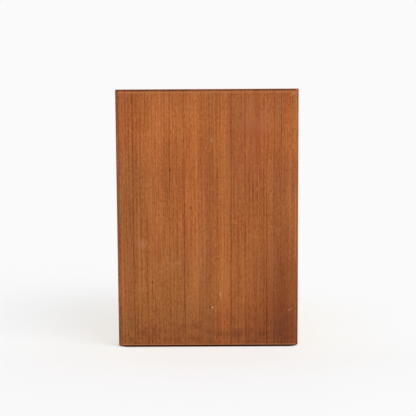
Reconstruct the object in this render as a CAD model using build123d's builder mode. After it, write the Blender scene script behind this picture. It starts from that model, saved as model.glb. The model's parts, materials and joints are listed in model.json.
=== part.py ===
from build123d import *

# A table-top cabinet for 35 mm slides, in teak.
#
# A mitred case holds a stack of drawers. Each drawer hangs on two runners that are housed in the case
# sides. It is dovetailed at the front and finger-jointed at the back, and the floor of its lanes is a
# saw-tooth rack with one notch for each slide.
#
# Millimetres. +X is to the right, +Y to the back and +Z up, and the drawers open towards -Y. The origin
# lies on the surface that the cabinet stands on, under the middle of the case.

import os
from math import sqrt

# ---------------------------------------------------------------- driving dimensions
# What the drawers hold
slide_mount = 50.0  # side of a square slide mount
lane_play = 3.0  # what a lane is wider than a mount
lane_count = 3
slots_per_lane = 50
slot_pitch = 4.16
head_room = 2.5  # from the top of a slide to the top edge of the drawer front
drawer_count = 5

# Boards
panel = 12.0  # case sides, top and bottom
lipping = 3.0  # solid edge on the front and the rear of each case board
back_ply = 5.0
front_board = 12.0
side_board = 8.0
rear_board = 8.0
partition_board = 4.0
bottom_ply = 3.0
rack_board = 4.0

# Fits
gap = 1.2  # round each drawer front, and beside each drawer
front_inset = 0.6  # from the front of the case to the drawer fronts
rear_gap = 4.0  # behind the closed drawers
back_recess = 2.0  # from the rear of the case to the back panel
back_play = 0.3  # round the back panel
ply_play = 0.3  # round a drawer's bottom, in its grooves
runner_play = 0.2  # above and below a runner in its groove
runner_end_play = 0.4  # from a runner to the bottom of its groove
closing_gap = 0.3  # from a runner's nose to the end of its groove, with the drawer closed
runner_rear_gap = 1.0  # from a runner to the back panel
screw_play = 0.05  # round a screw

# Case joinery
rabbet = 7.0  # width of the ledge that the back panel is screwed to
spline_thickness = 3.0
spline_width = 8.0
spline_offset = 7.5  # from the inner corner of the case, along the mitre
spline_stop = 5.0  # from each end of a spline to the front lipping or the rabbet
arris = 0.7  # bevel on the outer edges
foot_radius = 2.0  # rounding of the lower front and rear edges, on which the case is tipped

# Drawer joinery
side_height = 46.0
side_lift = 1.0  # lower edge of a drawer side above that of the front
ply_lift = 4.0  # underside of the bottom above the lower edge of the sides
ply_groove = 3.5  # depth of the grooves in the sides
ply_front_groove = 4.0
housing = 3.0  # depth of the grooves that hold the partitions
tail_count = 3
tail_length = 8.0
tail_root = 8.6  # width of a tail where it leaves the side
tail_flare = 1.3  # what a tail widens by above and below
finger_count = 5
partition_arris = 0.7  # bevel on the top edges of the partitions
front_arris = 0.5  # bevel round the face of a drawer front

# Finger notch in the top edge of each drawer front
notch_width = 44.0
notch_depth = 13.0
notch_corner = 3.0

# Rack
tooth_depth = 2.5
tooth_land = 0.6  # flat top of a tooth
tooth_steep = 0.7  # run of the steep face that a slide stands against

# Runners
runner_height = 8.4
runner_housing = 2.0  # depth that a runner is let into the case side
groove_depth = 4.5
groove_stop = 12.0  # from the drawer front to the closed end of the groove

# Screws of the back panel
shank_radius = 1.25
shank_length = 14.0
head_radius = 2.5
head_height = 1.4
screw_inset = 38.0  # from the edge of the case to the first screw
screws_per_side = 3

# Felt pads under the case
pad_thickness = 1.6
pad_radius = 8.0
pad_inset = 16.0  # from the edges of the case to the middle of a pad

# ---------------------------------------------------------------- worked out from them
# Widths, measured from the middle
lane_width = slide_mount + lane_play
lane_pitch = lane_width + partition_board
inner_width = lane_count * lane_pitch - partition_board
lane_side = inner_width / 2
box_side = lane_side + side_board
wall = box_side + gap
case_side = wall + panel
runner_reach = gap + groove_depth - runner_end_play

# Heights in a drawer, above the lower edge of its front
side_top = side_lift + side_height
ply_foot = side_lift + ply_lift
ply_top = ply_foot + bottom_ply
rack_top = ply_top + rack_board
front_height = rack_top - tooth_depth + slide_mount + head_room
groove_height = runner_height + 2 * runner_play
groove_middle = side_lift + side_height / 2
partition_height = side_top - rack_top
partition_middle = (side_top + rack_top) / 2

# Heights in the case
drawer_pitch = front_height + gap
opening_height = drawer_count * drawer_pitch + gap
case_height = opening_height + 2 * panel
case_middle = pad_thickness + case_height / 2
opening_foot = pad_thickness + panel
drawer_feet = [
    opening_foot + gap + level * drawer_pitch for level in reversed(range(drawer_count))
]

# Depths
lane_length = slots_per_lane * slot_pitch
box_length = lane_length + rear_board
case_depth = front_inset + front_board + box_length + rear_gap + back_ply + back_recess
case_front = -case_depth / 2
case_rear = case_depth / 2
lane_front = case_front + front_inset + front_board
lane_rear = lane_front + lane_length
lane_middle = (lane_front + lane_rear) / 2
box_rear = lane_front + box_length
back_front = box_rear + rear_gap
back_rear = back_front + back_ply
panel_front = case_front + lipping
panel_rear = case_rear - lipping
groove_front = lane_front + groove_stop
runner_front = groove_front + closing_gap
runner_rear = back_front - runner_rear_gap
spline_front = panel_front + spline_stop
spline_rear = back_front - spline_stop

os.makedirs("parts", exist_ok=True)


def save(shape, name):
    """Labels a finished piece and writes it as its own node."""
    shape.label = name
    export_step(shape, f"parts/{name}.step")


def across(depth):
    """The upright plane across the cabinet at that depth. An extrusion from it goes to the front."""
    return Plane.XZ.offset(-depth)


def along(place):
    """The upright plane from front to back at that place across the width."""
    return Plane.YZ.offset(place)


# ---------------------------------------------------------------- screws of the back panel
# They stand in the middle of the ledge that the back panel covers on each side of the opening.
ledge_middle = wall + (rabbet - back_play) / 2
screw_spacing = (case_height - 2 * screw_inset) / (screws_per_side - 1)
screw_places = [
    (side * ledge_middle, pad_thickness + screw_inset + number * screw_spacing)
    for side in (-1, 1)
    for number in range(screws_per_side)
]

with BuildPart() as back_panel_screws:
    with BuildSketch(across(back_rear)):
        with Locations(*screw_places):
            Circle(shank_radius)
    extrude(amount=shank_length)
    with BuildSketch(across(back_rear)):
        with Locations(*screw_places):
            Circle(head_radius)
    extrude(amount=-head_height)
save(back_panel_screws.part, "back_panel_screws")

with BuildPart() as screw_holes:
    with BuildSketch(across(back_rear)):
        with Locations(*screw_places):
            Circle(shank_radius + screw_play)
    extrude(amount=shank_length + screw_play)


# ---------------------------------------------------------------- runners and their grooves
def draw_round_nosed(front, rear, height, middle):
    """Draws in the open sketch, seen from the side, a bar from front to rear with a round front end."""
    nose = height / 2
    with Locations((front + nose, middle)):
        Circle(nose)
    with Locations(((front + nose + rear) / 2, middle)):
        Rectangle(rear - front - nose, height)


def runner_strips(side):
    """The runners on the left (-1) or the right (1), let into the case side."""
    with BuildPart() as strips:
        with BuildSketch(along(side * (wall + runner_housing))):
            for foot in drawer_feet:
                draw_round_nosed(runner_front, runner_rear, runner_height, foot + groove_middle)
        extrude(amount=-side * (runner_housing + runner_reach))
    return strips.part


runners_left = runner_strips(-1)
runners_right = runner_strips(1)
save(runners_left, "runners_left")
save(runners_right, "runners_right")

with BuildPart() as runner_grooves:
    for side in (-1, 1):
        with BuildSketch(along(side * box_side)):
            draw_round_nosed(groove_front, box_rear, groove_height, groove_middle)
        extrude(amount=-side * groove_depth)

# ---------------------------------------------------------------- case
# Each side of the case runs between two of its corners, given as left or right and down or up.
frame_sides = {
    "left": ((-1, -1), (-1, 1)),
    "top": ((-1, 1), (1, 1)),
    "right": ((1, 1), (1, -1)),
    "bottom": ((1, -1), (-1, -1)),
}


def frame_corner(corner, out):
    """A corner of the rectangle that lies that far outside the opening, seen from the front."""
    return (corner[0] * (wall + out), case_middle + corner[1] * (opening_height / 2 + out))


# The outside of the case as one block, which gives its boards and lippings their eased edges
with BuildPart() as outside:
    with BuildSketch(along(-case_side)) as side_view:
        with Locations((0, case_middle)):
            Rectangle(case_depth, case_height)
        fillet(side_view.vertices().group_by(Axis.Y)[0], foot_radius)
    extrude(amount=2 * case_side)
    end_edges = outside.faces().filter_by(Axis.X).edges()
    top_edges = outside.faces().sort_by(Axis.Z)[-1].edges().filter_by(Axis.X)
    chamfer(end_edges + top_edges, arris)

# Loose tongues across the four mitres
with BuildPart() as corner_splines:
    with BuildSketch(across(spline_rear)):
        for corner in ((-1, -1), (-1, 1), (1, 1), (1, -1)):
            with Locations(frame_corner(corner, spline_offset / sqrt(2))):
                Rectangle(spline_thickness, spline_width, rotation=45 * corner[0] * corner[1])
    extrude(amount=spline_rear - spline_front)
save(corner_splines.part, "corner_splines")


def mitred_bar(side, start, front, rear):
    """One side of the case from its outer face in to `start` outside the opening, mitred at its ends."""
    first, last = frame_sides[side]
    with BuildPart() as bar:
        with BuildSketch(across(rear)):
            with BuildLine():
                Polyline(
                    frame_corner(first, start),
                    frame_corner(first, panel),
                    frame_corner(last, panel),
                    frame_corner(last, start),
                    close=True,
                )
            make_face()
        extrude(amount=rear - front)
        add(outside.part, mode=Mode.INTERSECT)
    return bar.part


def case_board(side):
    """A case board, rabbeted for the back panel, and cut for the splines, the runners and the screws."""
    with BuildPart() as board:
        add(mitred_bar(side, 0, panel_front, back_front))
        add(mitred_bar(side, rabbet, back_front, panel_rear))
        for fitting in (corner_splines.part, screw_holes.part, runners_left, runners_right):
            add(fitting, mode=Mode.SUBTRACT)
    return board.part


save(case_board("left"), "side_panel_left")
save(case_board("right"), "side_panel_right")
save(case_board("top"), "top_panel")
save(case_board("bottom"), "bottom_panel")
for side_name in frame_sides:
    save(mitred_bar(side_name, 0, case_front, panel_front), f"front_lipping_{side_name}")
    save(mitred_bar(side_name, rabbet, panel_rear, case_rear), f"rear_lipping_{side_name}")

with BuildPart() as back_panel:
    with BuildSketch(across(back_rear)):
        with Locations((0, case_middle)):
            Rectangle(2 * (wall + rabbet - back_play), opening_height + 2 * (rabbet - back_play))
    extrude(amount=back_ply)
    add(screw_holes.part, mode=Mode.SUBTRACT)
save(back_panel.part, "back_panel")

with BuildPart() as foot_pads:
    with BuildSketch():
        with GridLocations(2 * (case_side - pad_inset), case_depth - 2 * pad_inset, 2, 2):
            Circle(pad_radius)
    extrude(amount=pad_thickness)
save(foot_pads.part, "foot_pads")

# ---------------------------------------------------------------- drawer
# A drawer is drawn with the lower edge of its front at z = 0, and then goes to each of its places.

# Room for the plywood bottom, in grooves in the front and the sides, and open to the rear
with BuildPart() as ply_room:
    with BuildSketch(Plane.XY.offset(ply_foot)):
        with Locations((0, box_rear)):
            Rectangle(
                2 * (lane_side + ply_groove),
                box_length + ply_front_groove,
                align=(Align.CENTER, Align.MAX),
            )
    extrude(amount=bottom_ply)

with BuildPart() as bottom:
    with BuildSketch(Plane.XY.offset(ply_foot)):
        with Locations((0, box_rear)):
            Rectangle(
                2 * (lane_side + ply_groove - ply_play),
                box_length + ply_front_groove - ply_play,
                align=(Align.CENTER, Align.MAX),
            )
    extrude(amount=bottom_ply)

# The partitions, square-edged, as they cut their housings in the front and the back
partition_places = [
    -lane_side - partition_board / 2 + (number + 1) * lane_pitch for number in range(lane_count - 1)
]
with BuildPart() as housings:
    with Locations(*[(place, lane_middle, partition_middle) for place in partition_places]):
        Box(partition_board, lane_length + 2 * housing, partition_height)


def partition_at(place):
    """A partition between two lanes, with its top edges bevelled."""
    with BuildPart() as divider:
        with Locations((place, lane_middle, partition_middle)):
            Box(partition_board, lane_length + 2 * housing, partition_height)
        top_edges = divider.faces().sort_by(Axis.Z)[-1].edges().filter_by(Axis.Y)
        chamfer(top_edges, partition_arris)
    return divider.part


with BuildPart() as rack:
    teeth = [
        (lane_front + number * slot_pitch + run, rack_top - drop)
        for number in range(slots_per_lane)
        for run, drop in ((0, 0), (tooth_land, 0), (slot_pitch - tooth_steep, tooth_depth))
    ]
    with BuildSketch(along(-lane_side)):
        with BuildLine():
            Polyline(
                (lane_front, ply_top),
                *teeth,
                (lane_rear, rack_top),
                (lane_rear, ply_top),
                close=True,
            )
        make_face()
    extrude(amount=inner_width)

with BuildPart() as rear:
    finger = side_height / finger_count
    with BuildSketch(across(box_rear)):
        with Locations((0, ply_top)):
            Rectangle(inner_width, side_top - ply_top, align=(Align.CENTER, Align.MIN))
        for number in range(1, finger_count, 2):
            with Locations((0, side_lift + number * finger)):
                Rectangle(2 * box_side, finger, align=(Align.CENTER, Align.MIN))
    extrude(amount=rear_board)
    add(housings.part, mode=Mode.SUBTRACT)
    add(runner_grooves.part, mode=Mode.SUBTRACT)


def tails_at(side):
    """The dovetails on the front end of a drawer side, which also cut their sockets in the front."""
    tail_pitch = side_height / tail_count
    tail_end = lane_front - tail_length
    with BuildPart() as tails:
        with BuildSketch(along(side * lane_side)):
            for number in range(tail_count):
                middle = side_lift + (number + 0.5) * tail_pitch
                root = tail_root / 2
                with BuildLine():
                    Polyline(
                        (lane_front, middle - root),
                        (tail_end, middle - root - tail_flare),
                        (tail_end, middle + root + tail_flare),
                        (lane_front, middle + root),
                        close=True,
                    )
                make_face()
        extrude(amount=side * side_board)
    return tails.part


def drawer_side(side):
    """The left (-1) or the right (1) side of a drawer, with its tails, fingers and runner groove."""
    with BuildPart() as board:
        with BuildSketch(along(side * lane_side)):
            with Locations((lane_front, side_lift)):
                Rectangle(box_length, side_height, align=(Align.MIN, Align.MIN))
        extrude(amount=side * side_board)
        add(tails_at(side))
        add(rear.part, mode=Mode.SUBTRACT)
        add(ply_room.part, mode=Mode.SUBTRACT)
        add(runner_grooves.part, mode=Mode.SUBTRACT)
    return board.part


with BuildPart() as front:
    with BuildSketch(across(lane_front)) as front_view:
        with BuildLine():
            Polyline(
                (-notch_width / 2, front_height),
                (-box_side, front_height),
                (-box_side, 0),
                (box_side, 0),
                (box_side, front_height),
                (notch_width / 2, front_height),
            )
            ThreePointArc(
                (notch_width / 2, front_height),
                (0, front_height - notch_depth),
                (-notch_width / 2, front_height),
            )
        make_face()
        fillet(front_view.vertices().group_by(Axis.Y)[-1].sort_by(Axis.X)[1:3], notch_corner)
    extrude(amount=front_board)
    chamfer(front.faces().sort_by(Axis.Y)[0].edges(), front_arris)
    for side in (-1, 1):
        add(tails_at(side), mode=Mode.SUBTRACT)
    add(ply_room.part, mode=Mode.SUBTRACT)
    add(housings.part, mode=Mode.SUBTRACT)

drawer_pieces = {
    "front": front.part,
    "side_left": drawer_side(-1),
    "side_right": drawer_side(1),
    "back": rear.part,
    "bottom": bottom.part,
    "slide_rack": rack.part,
}
for number, place in enumerate(partition_places, start=1):
    drawer_pieces[f"partition_{number}"] = partition_at(place)

# Drawer 1 is the one at the top
for drawer, foot in enumerate(drawer_feet, start=1):
    for piece_name, piece in drawer_pieces.items():
        save(piece.moved(Location((0, 0, foot))), f"drawer_{drawer}_{piece_name}")
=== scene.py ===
import json
from math import cos, pi, radians, sin

import bmesh
import bpy
from mathutils import Matrix, Vector, noise

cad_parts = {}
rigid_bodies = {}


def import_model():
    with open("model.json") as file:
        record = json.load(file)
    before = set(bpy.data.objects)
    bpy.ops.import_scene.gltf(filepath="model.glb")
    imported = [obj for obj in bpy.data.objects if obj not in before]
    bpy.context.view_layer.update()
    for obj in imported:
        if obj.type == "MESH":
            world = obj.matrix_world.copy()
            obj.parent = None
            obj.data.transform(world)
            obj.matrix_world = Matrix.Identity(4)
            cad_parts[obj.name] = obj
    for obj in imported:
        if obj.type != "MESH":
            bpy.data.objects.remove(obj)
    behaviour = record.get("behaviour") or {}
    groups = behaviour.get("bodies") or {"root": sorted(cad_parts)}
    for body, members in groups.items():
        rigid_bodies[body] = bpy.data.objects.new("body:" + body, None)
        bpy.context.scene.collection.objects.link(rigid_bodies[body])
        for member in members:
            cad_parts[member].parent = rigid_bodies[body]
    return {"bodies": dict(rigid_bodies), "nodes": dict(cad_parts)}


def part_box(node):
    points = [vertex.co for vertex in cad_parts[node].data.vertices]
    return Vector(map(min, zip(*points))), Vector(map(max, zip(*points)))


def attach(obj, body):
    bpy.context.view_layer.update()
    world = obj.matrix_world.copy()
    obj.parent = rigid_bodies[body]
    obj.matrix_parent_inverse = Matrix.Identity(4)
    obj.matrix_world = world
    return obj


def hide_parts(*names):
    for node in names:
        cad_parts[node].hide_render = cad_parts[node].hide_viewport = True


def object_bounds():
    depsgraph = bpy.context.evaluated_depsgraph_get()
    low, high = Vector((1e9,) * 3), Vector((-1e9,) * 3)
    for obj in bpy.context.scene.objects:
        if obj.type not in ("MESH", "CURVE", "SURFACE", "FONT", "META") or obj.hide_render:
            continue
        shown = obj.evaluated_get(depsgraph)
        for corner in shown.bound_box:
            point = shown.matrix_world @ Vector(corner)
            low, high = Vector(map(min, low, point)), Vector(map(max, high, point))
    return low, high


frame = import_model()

# The looks of a teak cabinet for 35 mm slides: wood that is oiled, handled and a little knocked about,
# pale beech drawer boxes, brass screws and felt pads, on a white sweep in soft light.

cad_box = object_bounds()
nodes = frame["nodes"]
MM = 0.001

# The case without its pads, in metres
front_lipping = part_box("front_lipping_right")
rear_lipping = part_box("rear_lipping_right")
CASE_TOP = cad_box[1].z
CASE_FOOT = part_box("foot_pads")[1].z
CASE_HEIGHT = CASE_TOP - CASE_FOOT
CASE_SIDE = cad_box[1].x
CASE_FRONT = front_lipping[0].y
CASE_REAR = rear_lipping[1].y
CASE_DEPTH = CASE_REAR - CASE_FRONT
CASE_MIDDLE = Vector((0, 0, (CASE_TOP + CASE_FOOT) / 2))

# And in millimetres, as the materials measure
DEPTH = CASE_DEPTH / MM
HEIGHT = CASE_HEIGHT / MM
FRONT = CASE_FRONT / MM
REAR = CASE_REAR / MM
SIDE = CASE_SIDE / MM
FOOT = CASE_FOOT / MM
LIPPING_WIDTH = (front_lipping[1].y - front_lipping[0].y) / MM

# ---------------------------------------------------------------- camera
# The photograph looks at the right side of the case. The view is fitted to that face's four corners, with
# the case's height as the unit of length.
PHOTO_PIXELS = 416
FOCAL_PIXELS = 950
SENSOR_MM = 36
YAW = radians(-0.21)
PITCH = radians(6.22)
ROLL = radians(-0.33)
AIM_RIGHT = 0.0018  # aim point, from the middle of the face
AIM_UP = 0.0427
DISTANCE = 3.678


def add_camera():
    """The photograph's camera. Its right is +Y, so the front of the cabinet is at the picture's left."""
    ahead = Vector((-cos(YAW) * cos(PITCH), sin(YAW) * cos(PITCH), -sin(PITCH)))
    level = Vector((sin(YAW), cos(YAW), 0))
    upright = level.cross(ahead)
    right = level * cos(ROLL) + upright * sin(ROLL)
    up = upright * cos(ROLL) - level * sin(ROLL)
    aim = Vector((CASE_SIDE, AIM_RIGHT * CASE_HEIGHT, CASE_MIDDLE.z + AIM_UP * CASE_HEIGHT))
    place = aim - ahead * DISTANCE * CASE_HEIGHT
    lens = bpy.data.cameras.new("camera")
    lens.sensor_width = SENSOR_MM
    lens.lens = SENSOR_MM * FOCAL_PIXELS / PHOTO_PIXELS
    lens.clip_end = 100
    camera = bpy.data.objects.new("camera", lens)
    bpy.context.scene.collection.objects.link(camera)
    turn = Matrix((right, up, -ahead)).transposed().to_4x4()
    camera.matrix_world = Matrix.Translation(place) @ turn
    bpy.context.scene.camera = camera


add_camera()


# ---------------------------------------------------------------- materials: the building blocks
BEVEL_SAMPLES = 4
EDGE_TURN = (0.12, 0.75)  # how far a rounded normal turns where wear starts, and where it is full


class Recipe:
    """One material's nodes. Most methods add nodes and give back the socket that comes out of them.

    colour and height, in millimetres, are what the surface has come to so far.
    """

    def __init__(self, name):
        """A new material of that name, grey and flat so far."""
        self.material = bpy.data.materials.new(name)
        self.material.use_nodes = True
        self.tree = self.material.node_tree
        self.shader = self.tree.nodes["Principled BSDF"]
        self.colour = grey(0.5)
        self.height = 0.0

    def feed(self, socket, value):
        """Wires a socket to the one that comes in, or sets it to a plain value."""
        if isinstance(value, bpy.types.NodeSocket):
            self.tree.links.new(value, socket)
        else:
            socket.default_value = value

    def split(self, vector):
        """The vector's three parts."""
        node = self.tree.nodes.new("ShaderNodeSeparateXYZ")
        self.feed(node.inputs[0], vector)
        return node.outputs[0], node.outputs[1], node.outputs[2]

    def join(self, x, y, z):
        """A vector of three values."""
        node = self.tree.nodes.new("ShaderNodeCombineXYZ")
        for socket, value in zip(node.inputs, (x, y, z)):
            self.feed(socket, value)
        return node.outputs[0]

    def place(self, axes="XYZ"):
        """The point in the frame, in millimetres, with its axes in that order.

        A drawer's point stays as it is with the drawer shut. Wood has its axes across the grain, along it
        and into it.
        """
        source = self.tree.nodes.new("ShaderNodeTexCoord").outputs["Object"]
        parts = dict(zip("XYZ", self.split(self.vector("MULTIPLY", source, (1 / MM, 1 / MM, 1 / MM)))))
        return self.join(*(parts[axis] for axis in axes))

    def vector(self, operation, first, second):
        """One node of vector maths."""
        node = self.tree.nodes.new("ShaderNodeVectorMath")
        node.operation = operation
        self.feed(node.inputs[0], first)
        self.feed(node.inputs[1], second)
        return node.outputs[0]

    def length(self, vector):
        """How long a vector is."""
        node = self.tree.nodes.new("ShaderNodeVectorMath")
        node.operation = "LENGTH"
        self.feed(node.inputs[0], vector)
        return node.outputs["Value"]

    def math(self, operation, *values):
        """One maths node. With more than two values, it goes through them one after another."""
        result = values[0]
        for value in values[1:]:
            node = self.tree.nodes.new("ShaderNodeMath")
            node.operation = operation
            self.feed(node.inputs[0], result)
            self.feed(node.inputs[1], value)
            result = node.outputs[0]
        return result

    def swing(self, value, reach):
        """A value from 0 to 1 as one around 0 that goes that far from end to end."""
        return self.math("MULTIPLY", self.math("SUBTRACT", value, 0.5), reach)

    def ease(self, value, low, high, start=0.0, end=1.0):
        """Goes smoothly from start to end as the value goes from low to high."""
        node = self.tree.nodes.new("ShaderNodeMapRange")
        node.interpolation_type = "SMOOTHSTEP"
        self.feed(node.inputs["Value"], value)
        for name, number in (("From Min", low), ("From Max", high), ("To Min", start), ("To Max", end)):
            node.inputs[name].default_value = number
        return node.outputs[0]

    def bump_at(self, value, middle, half_width):
        """1 where the value is at the middle, easing to 0 at that half width on either side."""
        away = self.math("SUBTRACT", value, middle)
        return self.ease(self.math("MULTIPLY", away, away), 0.0, half_width**2, 1.0, 0.0)

    def noise(self, vector, size, detail=2.0, roughness=0.5):
        """Noise from 0 to 1 whose blots measure that many millimetres each way."""
        node = self.tree.nodes.new("ShaderNodeTexNoise")
        scaled = self.vector("MULTIPLY", vector, tuple(1 / length for length in size))
        self.feed(node.inputs["Vector"], scaled)
        node.inputs["Scale"].default_value = 1.0
        node.inputs["Detail"].default_value = detail
        node.inputs["Roughness"].default_value = roughness
        return node.outputs[0]

    def ramp(self, value, stops):
        """A colour or a grey for each value, between the stops."""
        node = self.tree.nodes.new("ShaderNodeValToRGB")
        elements = node.color_ramp.elements
        elements[0].position = stops[0][0]
        elements[1].position = stops[-1][0]
        for position, _ in stops[1:-1]:
            elements.new(position)
        for element, (_, colour) in zip(elements, stops):
            element.color = (*colour, 1)
        self.feed(node.inputs[0], value)
        return node.outputs[0]

    def stain(self, amount, colour, blend="MIX"):
        """Lays a colour over what is there, as strongly as the amount says."""
        node = self.tree.nodes.new("ShaderNodeMix")
        node.data_type = "RGBA"
        node.blend_type = blend
        colours = [socket for socket in node.inputs if socket.type == "RGBA"]
        self.feed(node.inputs[0], amount)
        for socket, value in zip(colours, (self.colour, colour)):
            self.feed(socket, value if isinstance(value, bpy.types.NodeSocket) else (*value, 1))
        self.colour = next(socket for socket in node.outputs if socket.type == "RGBA")

    def sink(self, amount, depth):
        """Lowers the surface by that many millimetres where the amount is 1."""
        self.height = self.math("SUBTRACT", self.height, self.math("MULTIPLY", amount, depth))

    def rounded_normal(self, radius):
        """The surface's normal, with its edges rounded by that many millimetres."""
        node = self.tree.nodes.new("ShaderNodeBevel")
        node.samples = BEVEL_SAMPLES
        node.inputs["Radius"].default_value = radius * MM
        return node.outputs[0]

    def worn_edge(self, reach):
        """1 on edges and 0 on flats, from how far a normal rounded over that many mm has turned."""
        plain = self.tree.nodes.new("ShaderNodeNewGeometry").outputs["Normal"]
        turned_by = self.length(self.vector("SUBTRACT", self.rounded_normal(reach), plain))
        return self.ease(turned_by, *EDGE_TURN)

    def finish(self, roughness, specular, edge=0.35):
        """Gives the shader all that it has come to, on edges rounded by that many millimetres."""
        relief = self.tree.nodes.new("ShaderNodeBump")
        relief.inputs["Distance"].default_value = MM
        self.feed(relief.inputs["Height"], self.height)
        self.feed(relief.inputs["Normal"], self.rounded_normal(edge))
        self.feed(self.shader.inputs["Normal"], relief.outputs[0])
        self.feed(self.shader.inputs["Base Color"], self.colour)
        self.feed(self.shader.inputs["Roughness"], roughness)
        self.shader.inputs["Specular IOR Level"].default_value = specular
        return self.material


def grey(level):
    """A grey of that level, as a colour."""
    return (level, level, level)


# ---------------------------------------------------------------- teak
TEAK_DARK = (0.095, 0.024, 0.003)
TEAK_DEEP = (0.240, 0.055, 0.004)
TEAK_MIDDLE = (0.352, 0.098, 0.016)
TEAK_PALE = (0.458, 0.153, 0.050)
TEAK_RED = (0.310, 0.068, 0.018)
TEAK_GOLD = (0.385, 0.130, 0.024)
TEAK_STAINED = (0.165, 0.038, 0.010)
TEAK_RUBBED = (0.480, 0.175, 0.055)
TEAK_TONES = ((0.0, TEAK_DARK), (0.26, TEAK_DEEP), (0.52, TEAK_MIDDLE), (0.9, TEAK_PALE))
SCUFF = (0.560, 0.330, 0.180)
# a painted highlight, for a dent
DENT_HIGHLIGHT = (0.700, 0.520, 0.380)

TEAK_LIGHTNESS = 0.58  # before its layers lighten and darken it
RING_PITCH = 4.75  # from one soft growth ring to the next, in mm
RING_STRAY = 5.0  # how far the rings stray sideways, in mm
STREAK_DARKNESS = 0.10
PORE_DARKNESS = 0.24
PORE_DEPTH = 0.06  # in mm

# How far the grain strays sideways and how wide its broad bands are, in mm, and how strongly they show
VENEER_FIGURE = (1.6, 22.0, 0.12)
BACK_FIGURE = (16.0, 11.0, 0.40)
LIPPING_FIGURE = (2.0, 7.0, 0.18)
FRONT_FIGURE = (46.0, 8.0, 0.62)

RUB_REACH = 0.9  # how far in from its edges wood is rubbed pale, in mm
# And how strongly
LEVEL_WEAR = 0.4
BACK_WEAR = 0.0
LIPPING_WEAR = 0.35
FRONT_WEAR = 0.5


def teak_tone(wood, point, figure):
    """How light the wood is, from 0 to 1, and where its pores are. figure is one of the four above."""
    wander, band, bold = figure
    across, along, into = wood.split(point)
    strayed = wood.math("ADD", across, wood.swing(wood.noise(point, (60, 190, 60), 1), wander))
    grain = wood.join(strayed, along, into)
    pores = wood.ease(wood.noise(grain, (0.26, 4.5, 0.30), 0), 0.60, 0.70)
    ring_drift = wood.math("MULTIPLY", wood.noise(point, (50, 300, 50), 1), RING_STRAY)
    across_rings = wood.math("ADD", strayed, ring_drift)
    rings = wood.ease(wood.math("PINGPONG", across_rings, RING_PITCH / 2), 0.0, RING_PITCH / 2)
    layers = (
        # a value from 0 to 1, and how much lighter the wood is at 1 than at 0
        (wood.noise(grain, (band, 900, band), 1.5), bold),  # broad bands
        (wood.noise(grain, (0.8, 420, 1.2), 1), 0.54),  # lines that run from end to end
        (wood.noise(grain, (0.8, 60, 1.2), 1), 0.56),  # shorter lines
        (wood.noise(grain, (0.8, 5, 0.9), 2, 0.6), 1.10),  # fibres
        (wood.noise(point, (30, 110, 30), 2), 0.36),  # clouds
        (rings, 0.09),
    )
    streaks = wood.ease(wood.noise(grain, (1.8, 260, 3.0), 0), 0.57, 0.66)
    tone = wood.math("SUBTRACT", TEAK_LIGHTNESS, wood.math("MULTIPLY", streaks, STREAK_DARKNESS))
    for layer, weight in layers:
        tone = wood.math("ADD", tone, wood.swing(layer, weight))
    return wood.math("SUBTRACT", tone, wood.math("MULTIPLY", pores, PORE_DARKNESS)), pores


def colour_teak(wood, point, tone, pores):
    """Colours the wood by its lightness, redder in some places and more golden in others."""
    wood.colour = wood.ramp(tone, TEAK_TONES)
    flecks = wood.swing(wood.noise(point, (1.3, 24, 1.3), 1), 0.45)
    hue = wood.math("ADD", wood.noise(point, (9, 100, 9), 4, 0.75), flecks)
    wood.stain(wood.ease(hue, 0.52, 0.70, 0, 0.50), TEAK_RED)
    wood.stain(wood.ease(hue, 0.32, 0.48, 0.40, 0), TEAK_GOLD)
    wood.sink(pores, PORE_DEPTH)


def rub_edges(wood, point, wear):
    """Rubs the outside edges pale, as strongly as wear says and more in some places than in others."""
    patchy = wood.ease(wood.noise(point, (9, 22, 9), 2), 0.35, 0.65, 0.2, 1.0)
    wood.stain(wood.math("MULTIPLY", wood.worn_edge(RUB_REACH), patchy, wear), TEAK_RUBBED)


def oil_teak(wood, point):
    """The sheen of oiled teak, which comes and goes."""
    polish = wood.noise(point, (30, 60, 30), 3)
    return wood.finish(wood.ease(polish, 0.3, 0.7, 0.53, 0.63), 0.25)


def make_teak(name, axes, figure, wear, shade=0.0, low_darkened=False, marked=False):
    """Teak with that figure, its edges rubbed as strongly as wear says. shade is how much lighter it is.

    It can darken towards the foot, as the sides do; marked gives the shades of the side that faces the
    camera.
    """
    wood = Recipe(name)
    point = wood.place(axes)
    tone, pores = teak_tone(wood, point, figure)
    colour_teak(wood, point, wood.math("ADD", tone, shade), pores)
    if low_darkened:
        darken_low(wood, marked)
    rub_edges(wood, point, wear)
    return oil_teak(wood, point)


# ---------------------------------------------------------------- the veneer around the case
# Dark growth lines: how far back they stand, as shares of the case's depth, and how dark they are.
# The second lot fade out half way up the sides.
LINES_WHOLE = (
    (0.089, 0.66),
    (0.292, 0.34),
    (0.372, 0.50),
    (0.549, 0.24),
    (0.630, 0.74),
    (0.706, 0.34),
    (0.906, 0.16),
)
LINES_LOW = (
    (0.167, 0.56),
    (0.335, 0.26),
    (0.511, 0.24),
    (0.667, 0.40),
    (0.826, 0.62),
    (0.904, 0.22),
)
LINE_HALF_WIDTH = 0.0036  # as a share of the depth
LINE_SWAY = 1.6  # in mm
LOW_LINES_FADE = (0.45, 0.65)  # between which heights the second lot fade out, as shares of the case's
LINES_ON_SIDES = 0.80  # how strongly the lines show
LINES_ON_LEVELS = 0.55

# The arrises of the sides: between which distances each comes or goes, in mm
# The lower arris's pale line is a painted highlight
FOOT_HIGHLIGHT_GOES = (1.0, 2.2)  # the pale lower arris, from the foot
TOP_RUB_COMES = (2.8, 3.8)  # the pale line under the upper arris, from the top
TOP_RUB_GOES = (4.2, 5.6)
TOP_DARK_GOES = (1.8, 3.4)  # the dark upper arris, from the top
TOP_DARK_RAGGED = 2.2  # how ragged its lower edge is

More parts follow.
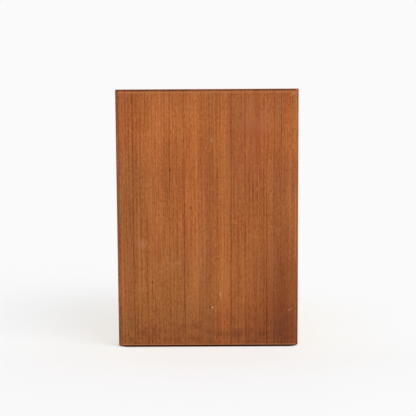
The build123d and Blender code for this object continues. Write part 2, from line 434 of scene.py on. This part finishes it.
# The joints beside the lippings, dark at the front and rubbed at the rear: where, how strong, what colour
SIDE_JOINTS = ((LIPPING_WIDTH, 0.9, TEAK_DARK), (DEPTH - LIPPING_WIDTH, 0.5, SCUFF))
SIDE_JOINT_HALF_WIDTH = 1.1  # in mm
LEVEL_JOINT_HALF_WIDTH = 1.2

# The sides are darker towards the foot, up to this height and this strongly
LOW_DARKENING_HEIGHT = 80.0  # above the foot, in mm
LOW_DARKENING = 0.74
DARKER = (0.52, 0.46, 0.34)
LIGHTER = (1.50, 1.50, 1.45)
TANNER = (0.90, 1.07, 1.05)
REDDER = (1.03, 0.92, 0.86)
ALL_THE_WAY = 900  # a half height, in mm, that makes a shade a band from the foot to the top

# Shades of the side that faces the camera, in the order in which they are laid. How far each is from the
# front and from the top, as shares of the side; half its width and half its height, in mm; how strong it is;
# and what it multiplies the colour by
SHADES = (
    (0.02, 0.02, 36, 40, 0.22, DARKER),
    (0.33, 0.16, 95, 80, 0.32, LIGHTER),
    (0.38, 0.42, 26, 90, 0.26, LIGHTER),
    (0.88, 0.14, 50, 70, 0.20, LIGHTER),
    (0.080, 0.78, 13, 150, 0.26, DARKER),
    (0.220, 0.40, 30, ALL_THE_WAY, 0.12, LIGHTER),
    (0.425, 0.50, 12, ALL_THE_WAY, 0.22, LIGHTER),
    (0.480, 0.80, 9, 110, 0.14, DARKER),
    (0.513, 0.50, 9, ALL_THE_WAY, 0.22, DARKER),
    (0.583, 0.60, 11, ALL_THE_WAY, 0.30, LIGHTER),
    (0.660, 0.20, 14, 130, 0.18, DARKER),
    (0.770, 0.45, 14, ALL_THE_WAY, 0.12, DARKER),
    (0.895, 0.50, 13, ALL_THE_WAY, 0.28, DARKER),
    (0.962, 0.60, 7, ALL_THE_WAY, 0.20, LIGHTER),
    (0.10, 0.33, 16, 48, 0.22, DARKER),
    (0.92, 0.34, 20, 46, 0.22, DARKER),
    (0.98, 0.15, 14, 60, 0.14, LIGHTER),
    (0.97, 0.90, 76, 185, 0.84, DARKER),
    (0.46, 0.94, 20, 60, 0.32, DARKER),
    (0.60, 0.72, 20, 70, 0.12, LIGHTER),
    (0.06, 0.46, 44, 100, 0.17, DARKER),
    (0.06, 0.46, 44, 120, 0.40, TANNER),
    (0.30, 0.80, 110, 105, 0.90, TANNER),
    (0.04, 0.94, 34, 46, 0.55, TANNER),
    (0.790, 0.52, 17, 50, 0.16, LIGHTER),
    (0.985, 0.38, 11, 60, 0.25, DARKER),
    (0.985, 0.82, 11, 60, 0.14, LIGHTER),
    (0.940, 0.90, 60, 100, 1.00, REDDER),
    (0.800, 0.18, 66, 100, 1.00, REDDER),
    (1.000, 0.50, 5, ALL_THE_WAY, 0.90, REDDER),
    (1.000, 0.22, 4, 110, 0.28, DARKER),
    (0.040, 0.10, 42, 60, 0.70, REDDER),
    (0.050, 0.14, 22, 60, 0.14, DARKER),
)
# Stains and scuffs, in the same way, but with the colour that each lays over the wood
STAINS = (
    (0.58, 0.74, 13, 34, 0.80, TEAK_GOLD),
    (0.74, 0.20, 34, 75, 0.60, TEAK_RED),
    (0.80, 0.10, 52, 32, 0.13, SCUFF),
    (0.66, 0.19, 8, 14, 0.20, SCUFF),
    (0.525, 0.195, 3, 10, 0.30, SCUFF),
    (0.150, 0.60, 15, 9, 0.20, SCUFF),
    (0.31, 0.675, 22, 5, 0.16, SCUFF),
    (0.19, 0.94, 26, 18, 0.42, TEAK_STAINED),
    (0.68, 0.96, 30, 16, 0.55, TEAK_STAINED),
    (0.92, 0.92, 26, 26, 0.50, TEAK_STAINED),
)
# Knocks and scratches, in the same way, with two more values: how many degrees each leans to the rear, after
# its half sizes, and how deep it is in mm, before its colour
KNOCKS = (
    # The first knock is a real dent in the bump, with its highlight painted as a pale spot
    (0.524, 0.849, 1.9, 1.8, 0, 0.75, 0.25, DENT_HIGHLIGHT),
    (0.510, 0.848, 1.8, 2.8, 0, 0.80, 0.20, TEAK_DARK),
    (0.467, 0.854, 1.7, 1.4, 0, 0.50, 0.15, TEAK_DARK),
    (0.569, 0.797, 1.1, 6.2, 6, 0.80, 0.08, SCUFF),
    (0.962, 0.857, 1.0, 4.0, 46, 0.40, 0.10, SCUFF),
    (0.948, 0.861, 1.4, 2.2, 30, 0.45, 0.08, SCUFF),
    (0.973, 0.645, 1.4, 5.0, 0, 0.25, 0.08, SCUFF),
    (0.971, 0.020, 1.3, 3.9, 52, 0.80, 0.15, SCUFF),
    (0.959, 0.035, 1.8, 1.6, 0, 0.45, 0.25, TEAK_DARK),
    (0.087, 0.036, 1.3, 9.0, 0, 0.85, 0.02, TEAK_DARK),
)


def line_stops(lines):
    """Ramp stops that are black, apart from a narrow peak at each line."""
    stops = [(0.0, grey(0))]
    for position, darkness in lines:
        stops.append((position - LINE_HALF_WIDTH, grey(0)))
        stops.append((position, grey(darkness)))
        stops.append((position + LINE_HALF_WIDTH, grey(0)))
    stops.append((1.0, grey(0)))
    return stops


def growth_lines(wood, point, from_front):
    """How dark the growth lines make each place. They sway a little, and come and go along their length."""
    _, along, _ = wood.split(point)
    sway = wood.swing(wood.noise(point, (400, 120, 400), 1), LINE_SWAY)
    share = wood.math("DIVIDE", wood.math("ADD", from_front, sway), DEPTH)
    presence = wood.ease(wood.noise(point, (9, 50, 9), 2), 0.34, 0.58, 0.55, 1.0)
    whole = wood.ramp(share, line_stops(LINES_WHOLE))
    fade_start, fade_end = (FOOT + HEIGHT * height for height in LOW_LINES_FADE)
    low_only = wood.ease(along, fade_start, fade_end, 1.0, 0.0)
    low = wood.math("MULTIPLY", wood.ramp(share, line_stops(LINES_LOW)), low_only)
    return wood.math("MULTIPLY", wood.math("ADD", whole, low), presence)


def side_veneer(name, marked):
    """Straight-grained veneer on a side of the case: growth lines, seams, a painted highlight on the lower
    arris.

    marked adds the stains and knocks of the side that faces the camera.
    """
    wood = Recipe(name)
    point = wood.place("YZX")
    tone, pores = teak_tone(wood, point, VENEER_FIGURE)
    face = side_face(wood)
    from_front, from_foot, _ = wood.split(face)
    lines = growth_lines(wood, point, from_front)
    tone = wood.math("SUBTRACT", tone, wood.math("MULTIPLY", lines, LINES_ON_SIDES))
    colour_teak(wood, point, tone, pores)
    darken_low(wood, marked)
    if marked:
        add_marks(wood, point, face)

    # Painted highlight: the lower arris is pale. The upper one is darker, with a rubbed line under it
    from_top = wood.math("SUBTRACT", HEIGHT, from_foot)
    comes = wood.ease(from_top, *TOP_RUB_COMES)
    goes = wood.ease(from_top, *TOP_RUB_GOES, 0.75, 0.0)
    under_top = wood.math("MULTIPLY", comes, goes)
    pale_line_and_highlight = wood.math("ADD", under_top, wood.ease(from_foot, *FOOT_HIGHLIGHT_GOES, 0.9, 0.0))
    wood.stain(pale_line_and_highlight, TEAK_PALE)
    # Darker along the upper arris, in a ragged band
    ragged = wood.swing(wood.noise(face, (7, 7, 1), 3), TOP_DARK_RAGGED)
    top_dark = wood.ease(wood.math("ADD", from_top, ragged), *TOP_DARK_GOES, 1.0, 0.0)
    strength = wood.ease(wood.noise(face, (40, 40, 1), 1), 0.35, 0.65, 0.6, 0.95)
    wood.stain(wood.math("MULTIPLY", top_dark, strength), TEAK_DARK)
    # The joints beside the lippings come and go
    shrunk = wood.ease(wood.noise(point, (60, 60, 60), 1), 0.38, 0.60, 0.25, 0.85)
    for place, strength, colour in SIDE_JOINTS:
        seam = wood.bump_at(from_front, place, SIDE_JOINT_HALF_WIDTH)
        wood.stain(wood.math("MULTIPLY", seam, shrunk, strength), colour)
    return oil_teak(wood, point)


def side_face(wood):
    """The place on a side of the case: how far from its front and from its foot, in mm."""
    across, along, _ = wood.split(wood.place("YZX"))
    from_front = wood.math("SUBTRACT", across, FRONT)
    return wood.join(from_front, wood.math("SUBTRACT", along, FOOT), 0.0)


def darken_low(wood, marked):
    """Darker towards the foot, in blotches, and if marked, the shades of the side that faces the camera."""
    face = side_face(wood)
    _, from_foot, _ = wood.split(face)
    blotches = wood.ease(wood.noise(face, (15, 11, 1), 1), 0.35, 0.70, 0.5, 1.0)
    low_darkening_mask = wood.math("MULTIPLY", wood.ease(from_foot, 0.0, LOW_DARKENING_HEIGHT, 1.0, 0.0), blotches)
    wood.stain(wood.math("MULTIPLY", low_darkening_mask, LOW_DARKENING), DARKER, "MULTIPLY")
    for across, down, half_width, half_height, amount, colour in SHADES if marked else ():
        blot = face_blot(wood, face, across, down, half_width, half_height)
        wood.stain(wood.math("MULTIPLY", blot, amount), colour, "MULTIPLY")


def face_blot(wood, face, across, down, half_width, half_height, lean=0):
    """1 at that place of the side, as shares from its front and from its top, and 0 that many mm away.

    lean is how many degrees the blot's height leans to the rear.
    """
    away = wood.vector("SUBTRACT", face, (across * DEPTH, (1 - down) * HEIGHT, 0))
    if lean:
        turn = wood.tree.nodes.new("ShaderNodeVectorRotate")
        turn.rotation_type = "Z_AXIS"
        turn.inputs["Angle"].default_value = radians(lean)
        wood.feed(turn.inputs["Vector"], away)
        away = turn.outputs[0]
    reach = wood.length(wood.vector("MULTIPLY", away, (1 / half_width, 1 / half_height, 0)))
    return wood.ease(reach, 0.0, 1.0, 1.0, 0.0)


def add_marks(wood, point, face):
    """The stains, scuffs and knocks of the side that faces the camera."""
    patchy = wood.ease(wood.noise(point, (7, 30, 7), 3), 0.35, 0.60)
    for across, down, half_width, half_height, amount, colour in STAINS:
        blot = face_blot(wood, face, across, down, half_width, half_height)
        wood.stain(wood.math("MULTIPLY", blot, patchy, amount), colour)
    for across, down, half_width, half_height, lean, amount, depth, colour in KNOCKS:
        blot = face_blot(wood, face, across, down, half_width, half_height, lean)
        wood.stain(wood.math("MULTIPLY", blot, amount), colour)
        wood.sink(blot, depth)


def level_veneer(name):
    """The veneer of the case's top and bottom, which carries the sides' growth lines around the corners."""
    wood = Recipe(name)
    point = wood.place("YXZ")
    tone, pores = teak_tone(wood, point, VENEER_FIGURE)
    across, _, _ = wood.split(point)
    from_front = wood.math("SUBTRACT", across, FRONT)
    lines = growth_lines(wood, point, from_front)
    tone = wood.math("SUBTRACT", tone, wood.math("MULTIPLY", lines, LINES_ON_LEVELS))
    colour_teak(wood, point, tone, pores)
    for place in (LIPPING_WIDTH, DEPTH - LIPPING_WIDTH):
        seam = wood.bump_at(from_front, place, LEVEL_JOINT_HALF_WIDTH)
        wood.stain(wood.math("MULTIPLY", seam, 0.5), TEAK_DARK)
    rub_edges(wood, point, LEVEL_WEAR)
    return oil_teak(wood, point)


# ---------------------------------------------------------------- beech, ply, brass and felt
BEECH = (0.560, 0.360, 0.195)
BEECH_DEEP = (0.440, 0.262, 0.130)
BEECH_FLECK = (0.330, 0.180, 0.090)
BEECH_HANDLED = (0.400, 0.245, 0.135)
BIRCH = (0.640, 0.480, 0.300)
BIRCH_DEEP = (0.500, 0.345, 0.200)


def make_beech(name, axes):
    """Steamed beech: even, with a faint grain and short dark flecks, a little dirty along its edges."""
    wood = Recipe(name)
    point = wood.place(axes)
    grain = wood.noise(point, (2.4, 260, 3.2), 3, 0.6)
    clouds = wood.noise(point, (30, 90, 30), 2)
    mixed = wood.math("ADD", wood.math("MULTIPLY", grain, 0.7), wood.math("MULTIPLY", clouds, 0.3))
    wood.colour = wood.ramp(mixed, ((0.30, BEECH_DEEP), (0.55, BEECH), (0.80, BEECH)))
    flecks = wood.ease(wood.noise(point, (0.5, 3.2, 0.5), 1), 0.66, 0.74)
    wood.stain(wood.math("MULTIPLY", flecks, 0.45), BEECH_FLECK)
    wood.sink(flecks, 0.03)
    wood.stain(wood.math("MULTIPLY", wood.worn_edge(0.8), 0.30), BEECH_HANDLED)
    return wood.finish(wood.ease(clouds, 0.3, 0.7, 0.48, 0.60), 0.3, 0.25)


def make_birch_ply(name):
    """A birch ply drawer bottom: pale, with wide soft figure from a peeled log."""
    wood = Recipe(name)
    point = wood.place("XYZ")
    swirl = wood.noise(point, (26, 90, 26), 1)
    across, along, into = wood.split(point)
    bent = wood.join(wood.math("ADD", across, wood.math("MULTIPLY", swirl, 40)), along, into)
    figure = wood.noise(bent, (9, 300, 9), 2)
    fibres = wood.noise(point, (0.6, 18, 0.6), 2, 0.6)
    mixed = wood.math("ADD", wood.math("MULTIPLY", figure, 0.7), wood.math("MULTIPLY", fibres, 0.3))
    wood.colour = wood.ramp(mixed, ((0.30, BIRCH_DEEP), (0.56, BIRCH), (0.80, BIRCH)))
    wood.sink(fibres, 0.03)
    return wood.finish(0.6, 0.3, 0.2)


BRASS = (0.560, 0.380, 0.150)
BRASS_TARNISHED = (0.210, 0.125, 0.050)
FELT = (0.060, 0.042, 0.032)
FELT_PALE = (0.120, 0.090, 0.070)


def make_brass(name):
    """Brass that has gone brown away from its rubbed edges."""
    metal = Recipe(name)
    point = metal.place()
    cloud = metal.noise(point, (1.6, 1.6, 1.6), 3, 0.6)
    metal.colour = metal.ramp(cloud, ((0.35, BRASS_TARNISHED), (0.62, BRASS)))
    metal.stain(metal.worn_edge(0.3), BRASS)
    metal.shader.inputs["Metallic"].default_value = 1.0
    metal.sink(metal.noise(point, (0.3, 0.3, 0.3), 2), 0.02)
    return metal.finish(metal.ease(cloud, 0.3, 0.7, 0.52, 0.30), 0.5, 0.1)


def make_felt(name):
    """Pressed wool felt: fibres that lie every way."""
    felt = Recipe(name)
    point = felt.place()
    tangled = felt.vector("ADD", point, felt.noise(point, (1.1, 1.1, 1.1), 2))
    fibres = felt.noise(tangled, (0.35, 0.35, 0.35), 3, 0.7)
    felt.colour = felt.ramp(fibres, ((0.30, FELT), (0.75, FELT_PALE)))
    felt.sink(fibres, 0.15)
    return felt.finish(0.95, 0.15, 0.2)


# ---------------------------------------------------------------- finishes for the CAD pieces
def dress(material, *names):
    """Gives that finish to the CAD pieces of those names."""
    for name in names:
        mesh = nodes[name].data
        mesh.materials.clear()
        mesh.materials.append(material)


dress(side_veneer("veneer_right", True), "side_panel_right")
dress(side_veneer("veneer_left", False), "side_panel_left")
dress(level_veneer("veneer_level"), "top_panel", "bottom_panel")
dress(make_teak("veneer_back", "XZY", BACK_FIGURE, BACK_WEAR), "back_panel")
LIPPINGS = (("front", -0.20), ("rear", 0.03))  # and how much lighter, or darker if below 0, they are
for end, shade in LIPPINGS:
    for side, marked in (("left", False), ("right", True)):
        name = f"{end}_lipping_{side}"
        dress(make_teak(name, "XZY", LIPPING_FIGURE, LIPPING_WEAR, shade, True, marked), name)
    level = make_teak(f"{end}_lipping_level", "ZXY", LIPPING_FIGURE, LIPPING_WEAR, shade)
    dress(level, f"{end}_lipping_top", f"{end}_lipping_bottom")
drawers = [name for name in frame["bodies"] if name != "case"]
front_teak = make_teak("drawer_front_teak", "ZXY", FRONT_FIGURE, FRONT_WEAR)
beech_lengthwise = make_beech("beech_lengthwise", "ZYX")
beech_crosswise = make_beech("beech_crosswise", "ZXY")
dress(front_teak, *(f"{drawer}_front" for drawer in drawers))
for piece in ("side_left", "side_right", "partition_1", "partition_2", "slide_rack"):
    dress(beech_lengthwise, *(f"{drawer}_{piece}" for drawer in drawers))
dress(beech_lengthwise, "runners_left", "runners_right")
dress(beech_crosswise, "corner_splines", *(f"{drawer}_back" for drawer in drawers))
dress(make_birch_ply("birch_ply"), *(f"{drawer}_bottom" for drawer in drawers))


# ---------------------------------------------------------------- screws and felt pads
WELD_DISTANCE = 1e-6  # corners nearer than this are one corner, in metres
SHARP_DEGREES = 35

SCREW_STEPS = 40  # steps around a screw
DOME_STEPS = 10  # and from its head's rim to the middle
SCREW_TURNS = (8, -14, 3, 71, -6, 19)  # degrees that each slot stands away from upright
SHANK_SHARE = 0.5  # the shank's radius, as a share of the head's
SLOT_SHARE = 0.26  # and the slot's width
RIM_SHARE = 0.18  # how high the head's rim is, as a share of the whole head

PAD_STEPS = 64  # steps around a pad
PAD_RIM_STEPS = 8  # and up its rim
PAD_RINGS = (0.3, 0.6, 0.85, 0.94)  # the rings of its two flats, as shares of its radius
PAD_BULGE = 0.05  # how far its rim bulges past them, as a share of its radius
RUFFLED_FROM = 0.93  # where its rim starts to be uneven
RUFFLE = 0.012  # and how uneven it is, as a share of the place's radius
RUFFLE_FINENESS = 2200  # bumps in a metre


def islands(node):
    """The lowest and highest corner of each separate solid in a CAD node."""
    mesh = bmesh.new()
    mesh.from_mesh(nodes[node].data)
    bmesh.ops.remove_doubles(mesh, verts=mesh.verts, dist=WELD_DISTANCE)
    left = set(mesh.verts)
    found = []
    while left:
        solid = []
        rim = [left.pop()]
        while rim:
            vertex = rim.pop()
            solid.append(vertex.co.copy())
            near = {edge.other_vert(vertex) for edge in vertex.link_edges} & left
            left -= near
            rim.extend(near)
        low = Vector([min(place[axis] for place in solid) for axis in range(3)])
        high = Vector([max(place[axis] for place in solid) for axis in range(3)])
        found.append((low, high))
    mesh.free()
    return sorted(found, key=lambda pair: tuple(round(value, 5) for value in pair[0]))


def turned(mesh, profile, steps):
    """Spins a profile of (radius, height) points around Z and closes it where the radius is 0."""
    rings = []
    for radius, height in profile:
        turns = [2 * pi * step / steps for step in range(steps if radius else 1)]
        places = [(radius * cos(turn), radius * sin(turn), height) for turn in turns]
        rings.append([mesh.verts.new(place) for place in places])
    for lower, upper in zip(rings, rings[1:]):
        for step in range(steps):
            after = (step + 1) % steps
            corners = [lower[step % len(lower)], lower[after % len(lower)]]
            corners += [upper[after % len(upper)], upper[step % len(upper)]]
            mesh.faces.new(list(dict.fromkeys(corners)))
    bmesh.ops.recalc_face_normals(mesh, faces=mesh.faces)


def new_object(name, mesh):
    """An object in the scene with that mesh, which is used up."""
    data = bpy.data.meshes.new(name)
    mesh.to_mesh(data)
    mesh.free()
    made = bpy.data.objects.new(name, data)
    bpy.context.scene.collection.objects.link(made)
    return made


def move_into(joined, piece):
    """Adds the piece's mesh, which is used up, to the joined one."""
    data = bpy.data.meshes.new("one_piece")
    piece.to_mesh(data)
    piece.free()
    joined.from_mesh(data)
    bpy.data.meshes.remove(data)


def screw_mesh(radius, proud, shank_radius, shank):
    """A round-headed wood screw with a slot. It points down and its head sits on Z = 0. All in metres."""
    rim = proud * RIM_SHARE
    # The point, the shank, the flat underside of the head, its rim and its dome
    profile = [(0, -shank), (shank_radius * 0.35, -shank * 0.93), (shank_radius, -shank * 0.78)]
    profile += [(shank_radius, 0), (radius * 0.97, 0), (radius, rim * 0.5), (radius, rim)]
    for step in range(1, DOME_STEPS):
        rise = step * pi / (2 * DOME_STEPS)
        profile.append((radius * cos(rise), rim + (proud - rim) * sin(rise)))
    profile.append((0, proud))
    head = bmesh.new()
    turned(head, profile, SCREW_STEPS)
    screw = new_object("screw", head)
    blade = bmesh.new()
    bmesh.ops.create_cube(blade, size=1)
    bmesh.ops.scale(blade, vec=(radius * 3, radius * SLOT_SHARE, proud), verts=blade.verts)
    bmesh.ops.translate(blade, vec=(0, 0, proud), verts=blade.verts)
    cutter = new_object("slot_cutter", blade)
    cut = screw.modifiers.new("slot", "BOOLEAN")
    cut.operation = "DIFFERENCE"
    cut.solver = "EXACT"
    cut.object = cutter
    bpy.context.view_layer.update()
    cut_mesh = bmesh.new()
    cut_mesh.from_object(screw, bpy.context.evaluated_depsgraph_get())
    bpy.data.objects.remove(cutter)
    bpy.data.objects.remove(screw)
    for face in cut_mesh.faces:
        face.smooth = True
    return cut_mesh


def add_screws():
    """The screws that hold the back panel, each where the CAD has one."""
    solids = islands("back_panel_screws")
    panel_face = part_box("back_panel")[1].y
    joined = bmesh.new()
    for (low, high), degrees in zip(solids, SCREW_TURNS):
        middle = (low + high) / 2
        radius = (high.x - low.x) / 2
        one = screw_mesh(radius, high.y - panel_face, radius * SHANK_SHARE, panel_face - low.y)
        turn = Matrix.Rotation(radians(90 + degrees), 4, "Z")
        to_place = Matrix.Translation((middle.x, panel_face, middle.z)) @ Matrix.Rotation(-pi / 2, 4, "X")
        one.transform(to_place @ turn)
        move_into(joined, one)
    screws = new_object("back_screws", joined)
    screws.data.materials.append(make_brass("screw_brass"))
    keep_edges_sharp(screws)
    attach(screws, "case")
    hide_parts("back_panel_screws")


def keep_edges_sharp(piece):
    """Shades the piece smoothly, apart from edges where its faces turn by more than SHARP_DEGREES."""
    mesh = bmesh.new()
    mesh.from_mesh(piece.data)
    for edge in mesh.edges:
        edge.smooth = len(edge.link_faces) == 2 and edge.calc_face_angle(0) < radians(SHARP_DEGREES)
    mesh.to_mesh(piece.data)
    mesh.free()


def add_felt_pads():
    """Felt discs with soft, slightly squeezed rims, where the CAD has its plain ones."""
    joined = bmesh.new()
    for low, high in islands("foot_pads"):
        middle = (low + high) / 2
        radius = (high.x - low.x) / 2
        thick = high.z - low.z
        # The lower flat, the rim and the upper flat
        profile = [(0, 0)]
        profile += [(radius * share, 0) for share in PAD_RINGS]
        for step in range(1, PAD_RIM_STEPS):
            around = pi * step / PAD_RIM_STEPS - pi / 2
            bulge = PAD_RINGS[-1] + PAD_BULGE * cos(around)
            profile.append((radius * bulge, thick * (0.5 + 0.5 * sin(around))))
        profile += [(radius * share, thick) for share in reversed(PAD_RINGS)]
        profile.append((0, thick))
        pad = bmesh.new()
        turned(pad, profile, PAD_STEPS)
        for vertex in pad.verts:
            reach = vertex.co.xy.length
            if reach > radius * RUFFLED_FROM:
                ruffle = noise.noise((vertex.co + middle) * RUFFLE_FINENESS) * RUFFLE
                vertex.co.x *= 1 + ruffle
                vertex.co.y *= 1 + ruffle
        bmesh.ops.translate(pad, vec=(middle.x, middle.y, low.z), verts=pad.verts)
        for face in pad.faces:
            face.smooth = True
        move_into(joined, pad)
    pads = new_object("felt_pads", joined)
    pads.data.materials.append(make_felt("pad_felt"))
    keep_edges_sharp(pads)
    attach(pads, "case")
    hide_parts("foot_pads")


add_screws()
add_felt_pads()

# ---------------------------------------------------------------- floor, world and lamps
WHITE = 0.957  # what the floor and the space behind it look like to the camera
# Painted warm bounce light from the wood, laid on the floor close to the case
PAINTED_BOUNCE = (0.957, 0.938, 0.902)  # and close to the case, which lends it some warmth
FLOOR_COLOUR = (0.965, 0.968, 0.970)
# Painted shade for the floor under the case
FLOOR_PAINTED_SHADE = (0.045, 0.022, 0.013)  # under the case, where little light comes back
FLOOR_RADIUS = 40.0  # in metres
FLOOR_LIT = 0.9  # the floor shows its shadows as far as this from the origin, in metres
FLOOR_PLAIN = 2.6  # and is plain white from here on
# The patch of painted shade under the case
PATCH_CORNER = 10.0  # how round the dark patch under the case is at its corners, in mm
PATCH_SHORT = 3.0  # how far it stops short of the case's front and rear, in mm

# Between which distances each thing comes or goes, in mm. These are from the patch's rim
PATCH_GOES = (-1.0, 4.5)
# where the painted warm bounce fades
PAINTED_BOUNCE_GOES = (10.0, 160.0)
WASH_COMES = (1.0, 6.5)  # the white that washes the shadow out
WASH_GROWS = (60.0, 500.0)
KEPT_GOES = (20.0, 320.0)
# And these from the side that faces the camera, and from the rear of the case
KEPT_COMES = (-60.0, 90.0)
THINNER_COMES = (-20.0, 60.0)

SHADOW_LOST = 0.78  # how much of the shadow the white washes out near the case
SHADOW_LOST_FAR = 0.92  # and far from it
SHADOW_THINNER = 0.14  # how much more of it goes behind the case
SHADOW_KEPT = 0.42  # how much less of it goes close before the side that faces the camera
WORLD_LIGHT = 0.45
WORLD_COLOUR = (1.0, 0.975, 0.945)
LAMPS = (
    # where it shines from, how strongly, how wide it looks in degrees, and its colour
    ("key", (0.45, 0.55, 0.70), 2.00, 45, (0.985, 1.0, 1.03)),
    ("fill", (0.62, -0.62, 0.48), 0.45, 60, (0.985, 1.0, 1.03)),
)


def add_floor():
    """A pale floor that catches the object's shadow, with painted shade and warm bounce near it, white all
    around.
    """
    disc = bmesh.new()
    bmesh.ops.create_circle(disc, cap_ends=True, radius=FLOOR_RADIUS, segments=64)
    bmesh.ops.translate(disc, vec=(0, 0, cad_box[0].z), verts=disc.verts)
    floor = new_object("floor", disc)
    paint = Recipe("floor_paint")
    point = paint.place()
    x, y, _ = paint.split(point)
    past = []
    for place, half in ((x, SIDE), (y, REAR - PATCH_SHORT)):
        away = paint.math("SUBTRACT", paint.math("ABSOLUTE", place, 0.0), half - PATCH_CORNER)
        past.append(paint.math("MAXIMUM", away, 0.0))
    beyond = paint.math("SUBTRACT", paint.length(paint.join(*past, 0.0)), PATCH_CORNER)
    paint.colour = FLOOR_COLOUR
    # Painted shade on the floor under the case
    paint.stain(paint.ease(beyond, *PATCH_GOES, 1.0, 0.0), FLOOR_PAINTED_SHADE)
    paint.finish(1.0, 0.0)
    before = paint.ease(x, *(SIDE + reach for reach in KEPT_COMES), 0.0, SHADOW_KEPT)
    kept = paint.math("MULTIPLY", before, paint.ease(beyond, *KEPT_GOES, 1.0, 0.0))
    wash = paint.ease(beyond, *WASH_GROWS, SHADOW_LOST, SHADOW_LOST_FAR)
    behind = paint.ease(y, *(REAR + reach for reach in THINNER_COMES), 0.0, SHADOW_THINNER)
    lost = paint.math("ADD", paint.math("SUBTRACT", wash, kept), behind)
    lost = paint.math("MINIMUM", lost, 1.0)
    washed = paint.math("MULTIPLY", paint.ease(beyond, *WASH_COMES), lost)
    far = paint.ease(paint.length(point), FLOOR_LIT / MM, FLOOR_PLAIN / MM)
    rays = paint.tree.nodes.new("ShaderNodeLightPath")
    share = paint.math("MULTIPLY", paint.math("MAXIMUM", washed, far), rays.outputs["Is Camera Ray"])
    plain = paint.tree.nodes.new("ShaderNodeEmission")
    paint.colour = grey(WHITE)
    # Painted warm bounce light near the case, as the camera sees the floor
    paint.stain(paint.ease(beyond, *PAINTED_BOUNCE_GOES, 1.0, 0.0), PAINTED_BOUNCE)
    paint.feed(plain.inputs["Color"], paint.colour)
    mixed = paint.tree.nodes.new("ShaderNodeMixShader")
    paint.feed(mixed.inputs[0], share)
    paint.feed(mixed.inputs[1], paint.shader.outputs[0])
    paint.feed(mixed.inputs[2], plain.outputs[0])
    paint.feed(paint.tree.nodes["Material Output"].inputs["Surface"], mixed.outputs[0])
    floor.data.materials.append(paint.material)


def add_world():
    """Even light from all around, which the camera, metal and glass see as white."""
    world = bpy.data.worlds.new("studio")
    bpy.context.scene.world = world
    world.use_nodes = True
    tree = world.node_tree
    tree.nodes.clear()
    rays = tree.nodes.new("ShaderNodeLightPath")
    light = tree.nodes.new("ShaderNodeBackground")
    light.inputs["Strength"].default_value = WORLD_LIGHT
    white = tree.nodes.new("ShaderNodeBackground")
    white.inputs["Strength"].default_value = WHITE
    for background, colour in ((light, WORLD_COLOUR), (white, grey(1))):
        background.inputs["Color"].default_value = (*colour, 1)
    mixed = tree.nodes.new("ShaderNodeMixShader")
    output = tree.nodes.new("ShaderNodeOutputWorld")
    seen = rays.outputs["Is Camera Ray"]
    for kind in ("Is Glossy Ray", "Is Transmission Ray"):
        either = tree.nodes.new("ShaderNodeMath")
        either.operation = "MAXIMUM"
        tree.links.new(seen, either.inputs[0])
        tree.links.new(rays.outputs[kind], either.inputs[1])
        seen = either.outputs[0]
    tree.links.new(seen, mixed.inputs[0])
    tree.links.new(light.outputs[0], mixed.inputs[1])
    tree.links.new(white.outputs[0], mixed.inputs[2])
    tree.links.new(mixed.outputs[0], output.inputs["Surface"])


def add_lamps():
    """The lamps of the table above, each a sun."""
    for name, comes_from, strength, width, colour in LAMPS:
        lamp = bpy.data.lights.new(name, "SUN")
        lamp.energy = strength
        lamp.angle = radians(width)
        lamp.color = colour
        made = bpy.data.objects.new(name, lamp)
        made.rotation_euler = Vector(comes_from).to_track_quat("Z", "Y").to_euler()
        bpy.context.scene.collection.objects.link(made)


add_floor()
add_world()
add_lamps()
bpy.context.scene.view_settings.view_transform = "Standard"
